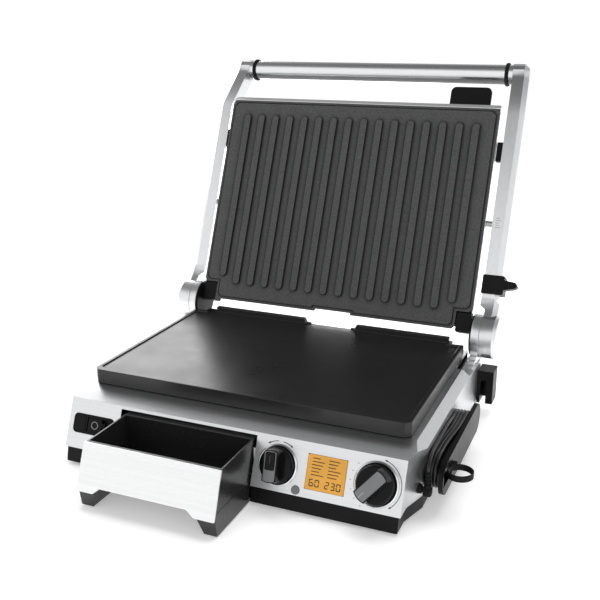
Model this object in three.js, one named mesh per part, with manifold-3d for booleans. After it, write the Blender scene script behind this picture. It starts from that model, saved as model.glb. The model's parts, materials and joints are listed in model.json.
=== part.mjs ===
// Panini press (contact grill) with a floating, ribbed lid plate, a pull-out drip tray and a food probe.
// Millimetres. X is right, Y is to the rear and Z is up; the counter is z = 0.
import * as THREE from 'three';
import Module from 'manifold-3d';
import { mergeVertices } from 'three/addons/utils/BufferGeometryUtils.js';

const wasm = await Module();
wasm.setup();

// ---------- driving dimensions ----------
const DEG = Math.PI / 180;
const GAP = 0.3; // running gap between neighbouring pieces
const ORIGIN_SHIFT_X = -7.5; // centres the whole object's box on the origin
const ORIGIN_SHIFT_Y = -47.6;

// base, in its own coordinates: x = 0 is the middle of the control panel
const FRONT_Y = -170; // foot of the slanted control panel
const REAR_Y = 150;
const BASE_BOTTOM_Z = 20; // seam between the metal housing and the plastic pan
const DECK_Z = 78;
const DECK_FRONT_Y = -118;
const PANEL_SLANT = 22.2 * DEG; // from the vertical
const PANEL_HEIGHT = 55.3; // measured up the slant
const PANEL_HALF_WIDTH = 195;
const BASE_HALF_WIDTH = 205;
const CORNER_FACET_Y = [-149, -116]; // the side walls swell outwards between these
const SHOULDER = { z: 70, inset: 11 };
const WALL = 1.2; // sheet-metal housings
const PAN = { bottomZ: 3, frontLean: 3.5, rearTaper: 8 };
const BAY = { x0: -129.5, x1: 35.6, top: 52 }; // drip tray opening, top measured up the panel
const WELL = { x: 166, y0: -104, y1: 118 }; // opening in the deck under the lower plate

// lower cooking plate
const PLATE = { halfWidth: 187.9, front: -118.4, rear: 131, bottomZ: 78.3, topZ: 94.9, skin: 6 };
const PLATE_NOTCH = { x: 172, y: 121 };
const PLATE_RIM = { x0: -157, x1: 168, height: 5.5, thickness: 7 };
const DRAIN_GAP = { x0: -18, x1: 38, flare: 8 }; // break in the rim, wider at its top

// hinge and lid
const HINGE = { y: 155, z: 98, radius: 27.3, pinRadius: 8 };
const LID_DATUM_RISE = 4; // the lid is drawn from a point this far above the hinge axis
const LID_LEAN = 23.2 * DEG; // the open lid leans back this far from the vertical
const INNER_DISC = [193.5, 203.5]; // from the middle of the press, along x
const OUTER_DISC = [203.8, 219.5, 226];
const AXIS_IN_LID = { w: LID_DATUM_RISE * Math.sin(LID_LEAN), u: -LID_DATUM_RISE * Math.cos(LID_LEAN) };
const ARM = { x0: 197, x1: 218, front: -3.4, back: 16.6, neckTop: 44, kink: 281, chamfer: 5.5 };
const ARM_TOP = { lean: 5, end: 14.3, corner: 9 }; // above the kink the arms close in on the handle
const HANDLE = { w: 34.5, u: 348, radius: 13, bore: 11 };
const PIVOT = { w: 6.6, u: 140, radius: 4 };
const SHELL = { halfWidth: 190, draft: 2.5, rim: -10.6, wallBack: 11, back: 54.6, sideSlope: 0.5, top: 287 };
const LID_PLATE = { halfWidth: 189.5, top: 285.7, bottom: -0.6, notchX: 169.6, notchU: 22.6 };
const LIP_RECESS = { x0: -20, x1: 31, depth: 3 }; // shallow step in the lid plate's lower edge
const LID_PLATE_DEPTH = { rib: -16, field: -13.6, flange: -12.5, rimBack: -11, back: -3.6 };
const RIBS = { count: 16, pitch: 21.64, width: 9, top: 264, bottom: 22.6, outerBottom: 32.5 };
const CORNER = { x0: 170.6, x1: 189.3, u0: -3.7, u1: 21.4, w0: -11.4, w1: 8 };
const LEVER = { x0: 117, x1: 171, top: 321.5, w0: 10.8, w1: 14.8, radius: 7 };

// controls on the panel: x across, t up the slant, n out of the panel
const FOOD_DIAL = { x: 62.5, t: 26.5, radius: 18, ring: 21.5, turn: 3 * DEG };
const TEMP_DIAL = { x: 167, t: 27, radius: 19.2, ring: 23, turn: 140 * DEG };
const DIAL_BAR = { width: 16, height: 13 };
const DISPLAY = { x0: 94, x1: 135.5, t0: 9.2, t1: 44.2 };
const ROUND_BUTTON = { x: 85, t: 5.5, radius: 4.2 };
const ESCUTCHEON = { x0: -188.3, x1: -136.5, t0: 17.5, t1: 38.8, depth: 7 };

// drip tray
const TRAY_OUT = 77; // how far it stands pulled out
const TRAY = { x0: -122, x1: 33.4, top: 65.5, bottom: 24.5, rear: -78, lip: 8, wall: 2 };
const TRAY_FRONT = { x0: -123.2, x1: 34.6, t0: 0.3, t1: 50.6, arch: 6.2 };
const TRAY_RUNNERS = [ // along x at the tray's bottom and where they stand on the counter
  { top: [-122.6, -102.4], foot: [-121.8, -108] },
  { top: [10, 33.8], foot: [20.8, 34.6] },
];
const TRAY_ARCH = [[-103.6, -96.5], [3.6, 12.6]]; // slanted ends of the arch in the metal front

// probe storage on the right wall
const SPOOL = { y0: -121, y1: 26, z0: 24, z1: 60, x0: 205.5, x1: 219.9 }; // the wound cord
const SPOOL_PLATE = { y0: -129, y1: 52, z0: 23, z1: 58, x1: 225.2 }; // holds the cord in, and the spike
const CORD_DIAMETER = 3.5;
const CONNECTOR = { y: -127.5, z: 30, top: 52, x: 210 };
const PROBE = { x: 237, y: -106, z: 44.9, ringOuter: 13.5, ringInner: 11.8, band: 6.2, spikeX: 222.9 };

// ---------- materials ----------
function material(color, roughness, metalness) {
  return new THREE.MeshStandardMaterial({ color, roughness, metalness, flatShading: true });
}
const BRUSHED = material(0xd9dadb, 0.32, 0.9);
const SATIN = material(0xb4b6b8, 0.38, 0.9);
const CAST = material(0xc9cbcc, 0.42, 0.85);
const BRIGHT = material(0xe2e3e4, 0.18, 1.0);
const STEEL = material(0x8f9295, 0.35, 0.9);
const NONSTICK = material(0x1d1e1f, 0.5, 0.1);
const NONSTICK_GREY = material(0x4c4e50, 0.6, 0.1);
const BLACK_PLASTIC = material(0x151516, 0.5, 0.0);
const GREY_PLASTIC = material(0x6b6e70, 0.5, 0.0);
const RUBBER = material(0x111112, 0.85, 0.0);
const AMBER = material(0xf0a033, 0.25, 0.0);
const BOARD = material(0x1f5a36, 0.6, 0.0);

// ---------- shape helpers ----------
const AXIS_X = new THREE.Vector3(1, 0, 0);
const AXIS_Y = new THREE.Vector3(0, 1, 0);
const AXIS_Z = new THREE.Vector3(0, 0, 1);

function outline(points) {
  return new THREE.Shape(points.map(([a, b]) => new THREE.Vector2(a, b)));
}

function roundedOutline(a0, a1, b0, b1, r) {
  const shape = new THREE.Shape();
  shape.moveTo(a0 + r, b0);
  shape.absarc(a1 - r, b0 + r, r, -Math.PI / 2, 0);
  shape.absarc(a1 - r, b1 - r, r, 0, Math.PI / 2);
  shape.absarc(a0 + r, b1 - r, r, Math.PI / 2, Math.PI);
  shape.absarc(a0 + r, b0 + r, r, Math.PI, 1.5 * Math.PI);
  return shape;
}

function withHole(shape, hole) {
  shape.holes.push(hole);
  return shape;
}

function extrude(shape, from, to, curveSegments = 4, bevel = {}) {
  const options = { depth: to - from, curveSegments, bevelEnabled: false, ...bevel };
  return new THREE.ExtrudeGeometry(shape, options).translate(0, 0, from);
}

// a (y, z) outline drawn out along x
function alongX(shape, x0, x1, segments, bevel) {
  const turn = new THREE.Matrix4().makeBasis(AXIS_Y, AXIS_Z, AXIS_X);
  return extrude(shape, x0, x1, segments, bevel).applyMatrix4(turn);
}

// an (x, z) outline drawn out along y
function alongY(shape, y0, y1, segments) {
  const turn = new THREE.Matrix4().makeBasis(AXIS_X, AXIS_Z, AXIS_Y.clone().negate());
  return extrude(shape, -y1, -y0, segments).applyMatrix4(turn);
}

function box(x0, x1, y0, y1, z0, z1) {
  const block = new THREE.BoxGeometry(x1 - x0, y1 - y0, z1 - z0);
  return block.translate((x0 + x1) / 2, (y0 + y1) / 2, (z0 + z1) / 2);
}

function rodX(radius, x0, x1, y, z, segments = 24) {
  const rod = new THREE.CylinderGeometry(radius, radius, x1 - x0, segments).rotateZ(Math.PI / 2);
  return rod.translate((x0 + x1) / 2, y, z);
}

function rodY(radius, y0, y1, x, z, segments = 24) {
  return new THREE.CylinderGeometry(radius, radius, y1 - y0, segments).translate(x, (y0 + y1) / 2, z);
}

function rodZ(radius, z0, z1, x, y, segments = 24) {
  const rod = new THREE.CylinderGeometry(radius, radius, z1 - z0, segments).rotateX(Math.PI / 2);
  return rod.translate(x, y, (z0 + z1) / 2);
}

// a profile of [radius, height] points turned about z
function turned(profile, segments = 32) {
  const points = profile.map(([r, h]) => new THREE.Vector2(r, h));
  return facingOut(new THREE.LatheGeometry(points, segments).rotateX(Math.PI / 2));
}

// the same, turned about x
function turnedX(profile, segments) {
  return turned(profile, segments).rotateY(Math.PI / 2);
}

// closed ring profile: inner and outer radius between two heights
function ringProfile(inner, outer, low, high) {
  return [[inner, low], [outer, low], [outer, high], [inner, high], [inner, low]];
}

function bare(geometry) {
  const copy = geometry.clone();
  copy.deleteAttribute('normal');
  copy.deleteAttribute('uv');
  return mergeVertices(copy, 1e-4);
}

function facingOut(geometry) {
  const mesh = bare(geometry);
  const place = mesh.attributes.position;
  const index = mesh.index.array;
  const corner = [new THREE.Vector3(), new THREE.Vector3(), new THREE.Vector3()];
  let volume = 0;
  for (let i = 0; i < index.length; i += 3) {
    corner.forEach((vertex, k) => vertex.fromBufferAttribute(place, index[i + k]));
    volume += corner[0].dot(corner[1].clone().cross(corner[2]));
  }
  if (volume < 0) {
    for (let i = 0; i < index.length; i += 3) {
      [index[i], index[i + 1]] = [index[i + 1], index[i]];
    }
  }
  return mesh;
}

function solid(geometry) {
  const mesh = facingOut(geometry);
  const vertProperties = new Float32Array(mesh.attributes.position.array);
  const triVerts = new Uint32Array(mesh.index.array);
  return new wasm.Manifold(new wasm.Mesh({ numProp: 3, vertProperties, triVerts }));
}

function geometryOf(manifold) {
  const mesh = manifold.getMesh();
  const geometry = new THREE.BufferGeometry();
  geometry.setAttribute('position', new THREE.BufferAttribute(new Float32Array(mesh.vertProperties), 3));
  geometry.setIndex(new THREE.BufferAttribute(new Uint32Array(mesh.triVerts), 1));
  geometry.computeVertexNormals();
  return geometry;
}

function join(first, ...others) {
  return geometryOf(others.reduce((sum, piece) => sum.add(solid(piece)), solid(first)));
}

function cut(body, ...tools) {
  return geometryOf(tools.reduce((rest, tool) => rest.subtract(solid(tool)), solid(body)));
}

function common(first, ...others) {
  return geometryOf(others.reduce((rest, piece) => rest.intersect(solid(piece)), solid(first)));
}

function mirrorX(geometry) {
  return facingOut(geometry.clone().applyMatrix4(new THREE.Matrix4().makeScale(-1, 1, 1)));
}

function tube(points, radius, steps, sides, closed = false) {
  const path = new THREE.CatmullRomCurve3(points.map((p) => new THREE.Vector3(...p)), closed);
  const section = new THREE.Shape();
  for (let i = 0; i < sides; i++) {
    const angle = (2 * Math.PI * i) / sides;
    const method = i ? 'lineTo' : 'moveTo';
    section[method](radius * Math.cos(angle), radius * Math.sin(angle));
  }
  return new THREE.ExtrudeGeometry(section, { steps, extrudePath: path, bevelEnabled: false });
}

function add(parent, name, geometry, surface) {
  const mesh = new THREE.Mesh(geometry, surface);
  mesh.name = name;
  parent.add(mesh);
  return mesh;
}

// left and right copies of a piece drawn on the right-hand side
function addPair(parent, name, geometry, surface) {
  add(parent, `${name}_right`, geometry, surface);
  add(parent, `${name}_left`, mirrorX(geometry), surface);
}

// ---------- frames ----------
const press = new THREE.Group();
press.position.set(ORIGIN_SHIFT_X, ORIGIN_SHIFT_Y, 0);
const panel = new THREE.Group(); // local x across, y up the slant, z out of the panel
panel.position.set(0, FRONT_Y, BASE_BOTTOM_Z);
panel.rotation.x = Math.PI / 2 - PANEL_SLANT;
panel.updateMatrix();
const lid = new THREE.Group(); // local x across, y into the lid (w), z from the hinge to the handle (u)
lid.position.set(0, HINGE.y, HINGE.z + LID_DATUM_RISE);
lid.rotation.x = -LID_LEAN;
press.add(panel, lid);

function inPanel(geometry) {
  return geometry.applyMatrix4(panel.matrix);
}

// y of the panel's outer face at a height
function panelY(z) {
  return FRONT_Y + (z - BASE_BOTTOM_Z) * Math.tan(PANEL_SLANT);
}

// ---------- base ----------
function planOutline(inset) {
  const wide = BASE_HALF_WIDTH - inset;
  const narrow = PANEL_HALF_WIDTH - inset;
  const [facetFront, facetRear] = CORNER_FACET_Y;
  const rear = REAR_Y - inset;
  const right = [
    [narrow, FRONT_Y - 20], [narrow, facetFront], [wide, facetRear], [wide, rear - 4], [wide - 4, rear],
  ];
  const left = right.map(([x, y]) => [-x, y]).reverse();
  return outline([...right, ...left]);
}

function housingForm(inset, lowZ) {
  const back = inset / Math.cos(PANEL_SLANT);
  const panelTop = BASE_BOTTOM_Z + PANEL_HEIGHT * Math.cos(PANEL_SLANT) - inset;
  const deck = DECK_Z - inset;
  const rear = REAR_Y + 1;
  const side = outline([
    [panelY(lowZ) + back, lowZ], [rear, lowZ], [rear, deck],
    [DECK_FRONT_Y, deck], [panelY(panelTop) + back, panelTop],
  ]);
  const wide = BASE_HALF_WIDTH + 1;
  const shoulderX = BASE_HALF_WIDTH - SHOULDER.inset;
  const shoulderZ = SHOULDER.z - inset;
  const front = outline([
    [-wide, lowZ], [wide, lowZ], [wide, shoulderZ], [shoulderX, deck + 0.5],
    [-shoulderX, deck + 0.5], [-wide, shoulderZ],
  ]);
  return common(
    alongX(side, -wide, wide),
    alongY(front, FRONT_Y - 30, rear + 1),
    extrude(planOutline(inset), lowZ - 1, DECK_Z + 1),
  );
}

// side outline of the hinge casting's foot, which stands in a notch in the housing
function footOutline(gap, rear, top) {
  return outline([[84 - gap, top], [84 - gap, 64], [92 - gap, 36 - gap], [rear, 36 - gap], [rear, top]]);
}

function notchTool() {
  return alongX(footOutline(GAP, REAR_Y + 5, 90), 188 - GAP, BASE_HALF_WIDTH + 5);
}

function baseHousing() {
  const e = ESCUTCHEON;
  const openings = [
    inPanel(box(BAY.x0, BAY.x1, -25, BAY.top, -14, 6)),
    inPanel(box(DISPLAY.x0 - GAP, DISPLAY.x1 + GAP, DISPLAY.t0 - GAP, DISPLAY.t1 + GAP, -6, 6)),
    inPanel(rodZ(4.5, -6, 6, FOOD_DIAL.x, FOOD_DIAL.t, 16)),
    inPanel(rodZ(4.5, -6, 6, TEMP_DIAL.x, TEMP_DIAL.t, 16)),
    inPanel(rodZ(ROUND_BUTTON.radius + 0.4, -6, 6, ROUND_BUTTON.x, ROUND_BUTTON.t, 20)),
    inPanel(extrude(roundedOutline(e.x0 - GAP, e.x1 + GAP, e.t0 - GAP, e.t1 + GAP, 5), -6, 6)),
    extrude(roundedOutline(-WELL.x, WELL.x, WELL.y0, WELL.y1, 8), DECK_Z - 10, DECK_Z + 10),
    notchTool(),
    mirrorX(notchTool()),
    rodX(5.2, BASE_HALF_WIDTH - 9, BASE_HALF_WIDTH + 6, CONNECTOR.y, CONNECTOR.z + 1.5, 20),
    rodY(7.3, REAR_Y - 6, REAR_Y + 6, -120, 38, 20),
  ];
  return cut(housingForm(0, BASE_BOTTOM_Z), housingForm(WALL, BASE_BOTTOM_Z - 8), ...openings);
}

function basePan() {
  const top = BASE_BOTTOM_Z - GAP;
  const frontTop = panelY(top) + 1.5;
  const form = (inset, low) => {
    const side = outline([
      [frontTop + inset, top + inset], [frontTop - PAN.frontLean + inset, low],
      [REAR_Y - 2 - PAN.rearTaper - inset, low], [REAR_Y - 2 - inset, top + inset],
    ]);
    return common(
      alongX(side, -BASE_HALF_WIDTH, BASE_HALF_WIDTH),
      extrude(planOutline(2 + inset), low - 1, top + inset + 1),
    );
  };
  const bay = box(BAY.x0, BAY.x1, FRONT_Y - 20, TRAY.rear + 14, PAN.bottomZ - 1, 30);
  const slots = [-110, 110].map((x) => box(x - 25, x + 25, 60, 64, 0, 10));
  return cut(form(0, PAN.bottomZ), form(2.5, PAN.bottomZ + 2.5), bay, ...slots);
}

function addFeet() {
  const spots = [[-170, -140], [170, -140], [-170, 120], [170, 120]];
  spots.forEach(([x, y], i) => {
    const foot = turned([[0, 0], [9, 0], [10, 1], [10, PAN.bottomZ - GAP], [0, PAN.bottomZ - GAP]], 20);
    add(press, `foot_${i + 1}`, foot.translate(x, y, 0), RUBBER);
  });
}

// five stair treads that rise towards the hinge, drawn as a side outline
function camOutline() {
  const steps = 5;
  const run = 7.2;
  const rise = 3.6;
  const [startY, startZ] = [107, 70];
  const points = [[startY - 4, 60], [startY - 4, startZ]];
  for (let i = 0; i < steps; i++) {
    const y = startY + i * run;
    const z = startZ + i * rise;
    points.push([y, z], [y + 1, z + rise], [y + run - 1, z + rise]);
  }
  points.push([177, 90], [166, 60]);
  return outline(points);
}

function hingeBracket() {
  const [x0, x1] = INNER_DISC;
  const disc = rodX(HINGE.radius, x0, x1, HINGE.y, HINGE.z, 40);
  const web = alongX(camOutline(), x0 + 0.5, x1);
  const foot = alongX(footOutline(0, REAR_Y, 70), 188, BASE_HALF_WIDTH);
  return cut(join(disc, web, foot), rodX(HINGE.pinRadius + GAP, x0 - 2, x1 + 2, HINGE.y, HINGE.z, 20));
}

function addHinges() {
  addPair(press, 'hinge_bracket', hingeBracket(), CAST);
  addPair(press, 'hinge_pin', rodX(HINGE.pinRadius, INNER_DISC[0], 215, HINGE.y, HINGE.z, 20), STEEL);
  const [face, back] = [190.9, INNER_DISC[0] - GAP];
  const cover = turnedX([[0, face], [24, face], [26.5, face + 1.1], [26.5, back], [0, back]], 32);
  addPair(press, 'hinge_inner_cover', cover.translate(0, HINGE.y, HINGE.z), BLACK_PLASTIC);
}

function cordHook() {
  const x = BASE_HALF_WIDTH + GAP;
  const profile = outline([
    [x, 17], [x + 4, 17], [x + 4, 46], [x + 11, 49], [x + 11, 17], [225, 17], [225, 60], [x, 60],
  ]);
  const wallPart = box(x - 10, x, REAR_Y + GAP, 158, 27, 39);
  const back = box(x + 3, x + 12, 155, 158, 17, 50);
  return join(alongY(profile, 132, 158), wallPart, back);
}

function elementLoop(halfX, y0, y1, z) {
  const r = 14;
  const corners = [
    [-20, y1 + 10], [-20, y1 - r], [-halfX + r, y1 - r], [-halfX, y1 - 2 * r], [-halfX, y0 + r],
    [-halfX + r, y0], [halfX - r, y0],
    [halfX, y0 + r], [halfX, y1 - 2 * r], [halfX - r, y1 - r], [20, y1 - r], [20, y1 + 10],
  ];
  return corners.map(([x, y]) => [x, y, z]);
}

function elementTray() {
  const { x, y0, y1 } = WELL;
  const form = (inset, low, high) =>
    extrude(roundedOutline(-x + inset, x - inset, y0 + inset, y1 - inset, 8 - inset), low, high);
  const leadHole = box(-24, 24, y1 - 8, y1 + 5, 68.6, 75.9);
  return cut(form(1, 66.5, DECK_Z - 1), form(2.5, 68, DECK_Z + 5), leadHole);
}

function lowerPlate() {
  const p = PLATE;
  const plan = (inset) => {
    const x = p.halfWidth - inset;
    const n = PLATE_NOTCH;
    return outline([
      [-x + 6, p.front + inset], [x - 6, p.front + inset], [x, p.front + 6 + inset], [x, n.y - inset],
      [n.x - inset, n.y - inset], [n.x - inset, p.rear - inset], [-n.x + inset, p.rear - inset],
      [-n.x + inset, n.y - inset], [-x, n.y - inset], [-x, p.front + 6 + inset],
    ]);
  };
  const body = extrude(plan(0), p.bottomZ, p.topZ);
  const rimTop = p.topZ + PLATE_RIM.height;
  const gap = DRAIN_GAP;
  const rims = [
    [[PLATE_RIM.x0, p.bottomZ], [gap.x0, p.bottomZ], [gap.x0 - gap.flare, rimTop], [PLATE_RIM.x0, rimTop]],
    [[gap.x1, p.bottomZ], [PLATE_RIM.x1, p.bottomZ], [PLATE_RIM.x1, rimTop], [gap.x1 + gap.flare, rimTop]],
  ].map((points) => alongY(outline(points), p.rear - PLATE_RIM.thickness, p.rear));
  const spout = box(gap.x0, gap.x1, p.rear - 12, p.rear + 5, p.topZ - 2.6, p.topZ + 20);
  const dish = extrude(plan(5), p.topZ - 1.5, p.topZ + 20);
  const pocket = extrude(plan(7), p.bottomZ - 5, p.topZ - p.skin);
  return cut(join(cut(body, dish), ...rims), spout, pocket);
}

function addBase() {
  add(press, 'base_housing', baseHousing(), SATIN);
  add(press, 'base_pan', basePan(), BLACK_PLASTIC);
  addFeet();
  addHinges();
  addPair(press, 'cord_hook', cordHook(), BLACK_PLASTIC);
  const gland = turned(ringProfile(3.8, 7, -4, 2.5), 20);
  const collar = turned(ringProfile(3.8, 9.5, 2.2, 6), 20);
  add(press, 'mains_gland', join(gland, collar).rotateX(-Math.PI / 2).translate(-120, REAR_Y, 38), RUBBER);
  add(press, 'element_tray', elementTray(), STEEL);
  const loop = elementLoop(140, WELL.y0 + 20, WELL.y1, 72.2);
  add(press, 'lower_element', tube(loop, 3.2, 36, 6), STEEL);
  add(press, 'lower_plate', lowerPlate(), NONSTICK);
}

// ---------- control panel ----------
function dial(spec) {
  const skirt = turned([[0, 3], [spec.radius, 3], [spec.radius, 6], [spec.radius - 1.5, 9], [0, 9]], 36);
  const half = DIAL_BAR.width / 2;
  const bar = common(
    box(-half, half, -spec.radius - 1, spec.radius + 1, 8, 9 + DIAL_BAR.height),
    turned([[0, 0], [spec.radius + 0.5, 0], [spec.radius + 0.5, 15], [spec.radius - 1.5, 30], [0, 30]], 36),
  );
  return join(skirt, bar);
}

function placedDial(geometry, spec) {
  return geometry.rotateZ(spec.turn).translate(spec.x, spec.t, 0);
}

function bezelRing(spec) {
  const inner = spec.radius + 0.6;
  const outer = spec.ring;
  const profile = [[inner, GAP], [outer, GAP], [outer, 1.2], [outer - 1.4, 2.4], [inner, 1.6], [inner, GAP]];
  return turned(profile, 32).translate(spec.x, spec.t, 0);
}

function encoder(spec) {
  const can = box(-7, 7, -7, 7, -12.5, -3);
  return join(can, rodZ(3, -4, 2.7, 0, 0, 16)).translate(spec.x, spec.t, 0);
}

function addDials() {
  add(panel, 'bezel_ring_left', bezelRing(FOOD_DIAL), BRIGHT);
  add(panel, 'bezel_ring_right', bezelRing(TEMP_DIAL), BRIGHT);
  add(panel, 'encoder_left', encoder(FOOD_DIAL), STEEL);
  add(panel, 'encoder_right', encoder(TEMP_DIAL), STEEL);
  const top = 9 + DIAL_BAR.height;
  const pocket = extrude(roundedOutline(-5.5, 5.5, -4, 14.5, 2), top - 6, top + 5);
  add(panel, 'food_dial', placedDial(cut(dial(FOOD_DIAL), pocket), FOOD_DIAL), BLACK_PLASTIC);
  const inlay = extrude(roundedOutline(-5.1, 5.1, -3.6, 14.1, 1.7), top - 4, top + 0.6);
  add(panel, 'food_dial_button', placedDial(inlay, FOOD_DIAL), GREY_PLASTIC);
  add(panel, 'temp_dial', placedDial(dial(TEMP_DIAL), TEMP_DIAL), BLACK_PLASTIC);
}

function addDisplay() {
  const d = DISPLAY;
  const lens = extrude(roundedOutline(d.x0, d.x1, d.t0, d.t1, 2), -1.8, 0.4);
  add(panel, 'display_window', lens, AMBER);
  add(panel, 'display_module', box(d.x0 - 4, d.x1 + 4, d.t0 - 4, d.t1 + 4, -9, -2.6), BLACK_PLASTIC);
  add(panel, 'control_board', box(40, 188, 2, 48, -14.6, -13), BOARD);
  const button = ROUND_BUTTON;
  add(panel, 'round_button', rodZ(button.radius, -2, 2, button.x, button.t, 24), GREY_PLASTIC);
}

function addPlateRelease() {
  const e = ESCUTCHEON;
  const frame = extrude(roundedOutline(e.x0, e.x1, e.t0, e.t1, 5), -e.depth, 0.5);
  const slot = box(-170.5, -139.5, 20.5, 36, -e.depth + 1.5, 5);
  const padSeat = extrude(roundedOutline(-186.8, -172.6, 19.5, 37, 2), -1, 5);
  const stemSlot = box(-163, -146.5, 25, 31, -e.depth - 1, 5);
  add(panel, 'release_escutcheon', cut(frame, slot, padSeat, stemSlot), BLACK_PLASTIC);
  const pad = extrude(roundedOutline(-186.4, -173, 20, 36.5, 1.8), -0.7, 0.7);
  add(panel, 'release_label_pad', pad, GREY_PLASTIC);
  const cap = extrude(roundedOutline(-169.3, -151.8, 21, 35.5, 1.2), -e.depth + 1.8, 0.2);
  const stem = box(-162.5, -157.5, 25.5, 30.5, -e.depth - 3, -e.depth + 2);
  add(panel, 'release_slider', join(cap, stem), GREY_PLASTIC);
  const bar = box(-164, -156, 22, 36, -e.depth - 5, -e.depth - 3 - GAP);
  const hook = box(-164, -156, 32, 36, -e.depth - 26, -e.depth - 4.5);
  const tooth = box(-156.5, -150, 32, 36, -e.depth - 26, -e.depth - 20);
  add(panel, 'release_latch', join(bar, hook, tooth), STEEL);
  add(panel, 'release_spring', springCoil().translate(-176, 29, -e.depth - 6), STEEL);
}

// compression spring lying along x
function springCoil() {
  const turns = 3;
  const perTurn = 8;
  const points = [];
  for (let i = 0; i <= turns * perTurn; i++) {
    const angle = (2 * Math.PI * i) / perTurn;
    points.push([(i / perTurn) * 3.4, 3 * Math.cos(angle), 3 * Math.sin(angle)]);
  }
  return tube(points, 0.5, turns * perTurn, 5);
}

// ---------- drip tray ----------
// where the tray's body starts behind its metal front
function trayFrontY(z) {
  return panelY(z) + 4;
}

// side outline of the tray, inset all round for its cavity
function trayOutline(inset, high) {
  const t = TRAY;
  const low = t.bottom + inset;
  const rear = t.rear - inset;
  return outline([[trayFrontY(low) + inset, low], [rear, low], [rear, high], [trayFrontY(high) + inset, high]]);
}

// side outline of the runners that carry the tray on the counter
function runnerOutline() {
  const t = TRAY;
  const top = t.bottom + 1;
  const foot = 1.5;
  return outline([
    [trayFrontY(top), top], [trayFrontY(BASE_BOTTOM_Z), BASE_BOTTOM_Z], [FRONT_Y + 6.5, foot],
    [t.rear - 3, foot], [t.rear, foot + 3], [t.rear, top],
  ]);
}

function trayBody() {
  const t = TRAY;
  const shell = alongX(trayOutline(0, t.top), t.x0, t.x1);
  const cavity = alongX(trayOutline(t.wall, t.top + 10), t.x0 + t.wall, t.x1 - t.wall);
  const lip = box(t.x0, t.x1, t.rear - 1, t.rear + t.lip, t.top - 2.5, t.top);
  const runners = TRAY_RUNNERS.map(({ top, foot }) => {
    const front = outline([[top[0], t.bottom + 1], [foot[0], 0], [foot[1], 0], [top[1], t.bottom + 1]]);
    return common(alongX(runnerOutline(), t.x0 - 20, t.x1 + 20), alongY(front, FRONT_Y - 10, t.rear + 10));
  });
  return cut(join(shell, lip, ...runners), cavity);
}

function addDripTray() {
  const tray = new THREE.Group();
  tray.position.y = -TRAY_OUT;
  press.add(tray);
  add(tray, 'drip_tray', trayBody(), BLACK_PLASTIC);
  const f = TRAY_FRONT;
  const [left, right] = TRAY_ARCH;
  const face = outline([
    [f.x0, f.t0], [left[0], f.t0], [left[1], f.t0 + f.arch], [right[0], f.t0 + f.arch], [right[1], f.t0],
    [f.x1, f.t0], [f.x1, f.t1], [f.x0, f.t1],
  ]);
  const panelInTray = new THREE.Group();
  panelInTray.position.copy(panel.position);
  panelInTray.rotation.copy(panel.rotation);
  tray.add(panelInTray);
  add(panelInTray, 'drip_tray_front', extrude(face, -2.6, -0.2), BRUSHED);
}

// ---------- lid ----------
// direction and length of the arm's upper part, from the kink to the handle
function armTopWay() {
  const middle = (ARM.front + ARM.back) / 2;
  const length = Math.hypot(HANDLE.w - middle, HANDLE.u - ARM.kink);
  return { middle, length, dw: (HANDLE.w - middle) / length, du: (HANDLE.u - ARM.kink) / length };
}

// moves whatever is above the kink towards the middle, more and more towards the handle
function leanInwards(geometry) {
  const { middle, length, dw, du } = armTopWay();
  const place = geometry.attributes.position;
  for (let i = 0; i < place.count; i++) {
    const rise = ((place.getY(i) - middle) * dw + (place.getZ(i) - ARM.kink) * du) / length;
    const shift = Math.sign(place.getX(i)) * ARM_TOP.lean * Math.max(0, rise);
    place.setX(i, place.getX(i) - shift);
  }
  return geometry;
}

function armOutline() {
  const a = ARM;
  const { dw, du } = armTopWay();
  const half = (a.back - a.front) / 2;
  const miter = half * Math.tan(Math.atan2(dw, du) / 2);
  const { end } = ARM_TOP;
  const shape = new THREE.Shape();
  shape.moveTo(a.front, a.neckTop - 4);
  shape.lineTo(a.back, a.neckTop - 4);
  shape.lineTo(a.back, a.kink - miter);
  shape.lineTo(HANDLE.w + du * half - dw * end, HANDLE.u - dw * half - du * end);
  const startAngle = Math.atan2(-dw * half - du * (end - 6), du * half - dw * (end - 6));
  const stopAngle = Math.atan2(dw * half - du * (end - 6), -du * half - dw * (end - 6));
  shape.absarc(HANDLE.w, HANDLE.u, end, startAngle, stopAngle + (stopAngle < startAngle ? 2 * Math.PI : 0));
  shape.lineTo(HANDLE.w - du * half - dw * end, HANDLE.u + dw * half - du * end);
  shape.lineTo(a.front, a.kink + miter);
  return shape;
}

// side outline of the neck: hollow curves from the knuckle's disc up to the bar
function neckOutline() {
  const { w, u } = AXIS_IN_LID;
  const shape = new THREE.Shape();
  shape.moveTo(w - 18, u - 8);
  shape.lineTo(w - 24, u + 12.5);
  shape.quadraticCurveTo(ARM.front - 2, u + 26, ARM.front - 1, ARM.neckTop);
  shape.lineTo(ARM.back + 1, ARM.neckTop);
  shape.quadraticCurveTo(ARM.back + 1.5, u + 30, w + 24, u + 12.5);
  shape.lineTo(w + 18, u - 8);
  return shape;
}

// front view of the arm's upper end, with the outer corner rounded off
function armTopOutline() {
  const { lean, end, corner } = ARM_TOP;
  const top = HANDLE.u + end;
  const outerX = (u) => ARM.x1 - (lean * (u - ARM.kink)) / (HANDLE.u - ARM.kink) + GAP;
  const shape = new THREE.Shape();
  shape.moveTo(ARM.x0 - 20, 20);
  shape.lineTo(ARM.x1 + GAP, 20);
  shape.lineTo(ARM.x1 + GAP, ARM.kink);
  shape.lineTo(outerX(top - corner), top - corner);
  shape.quadraticCurveTo(outerX(top), top, outerX(top) - corner, top + GAP);
  shape.lineTo(ARM.x0 - 20, top + GAP);
  return shape;
}

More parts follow.
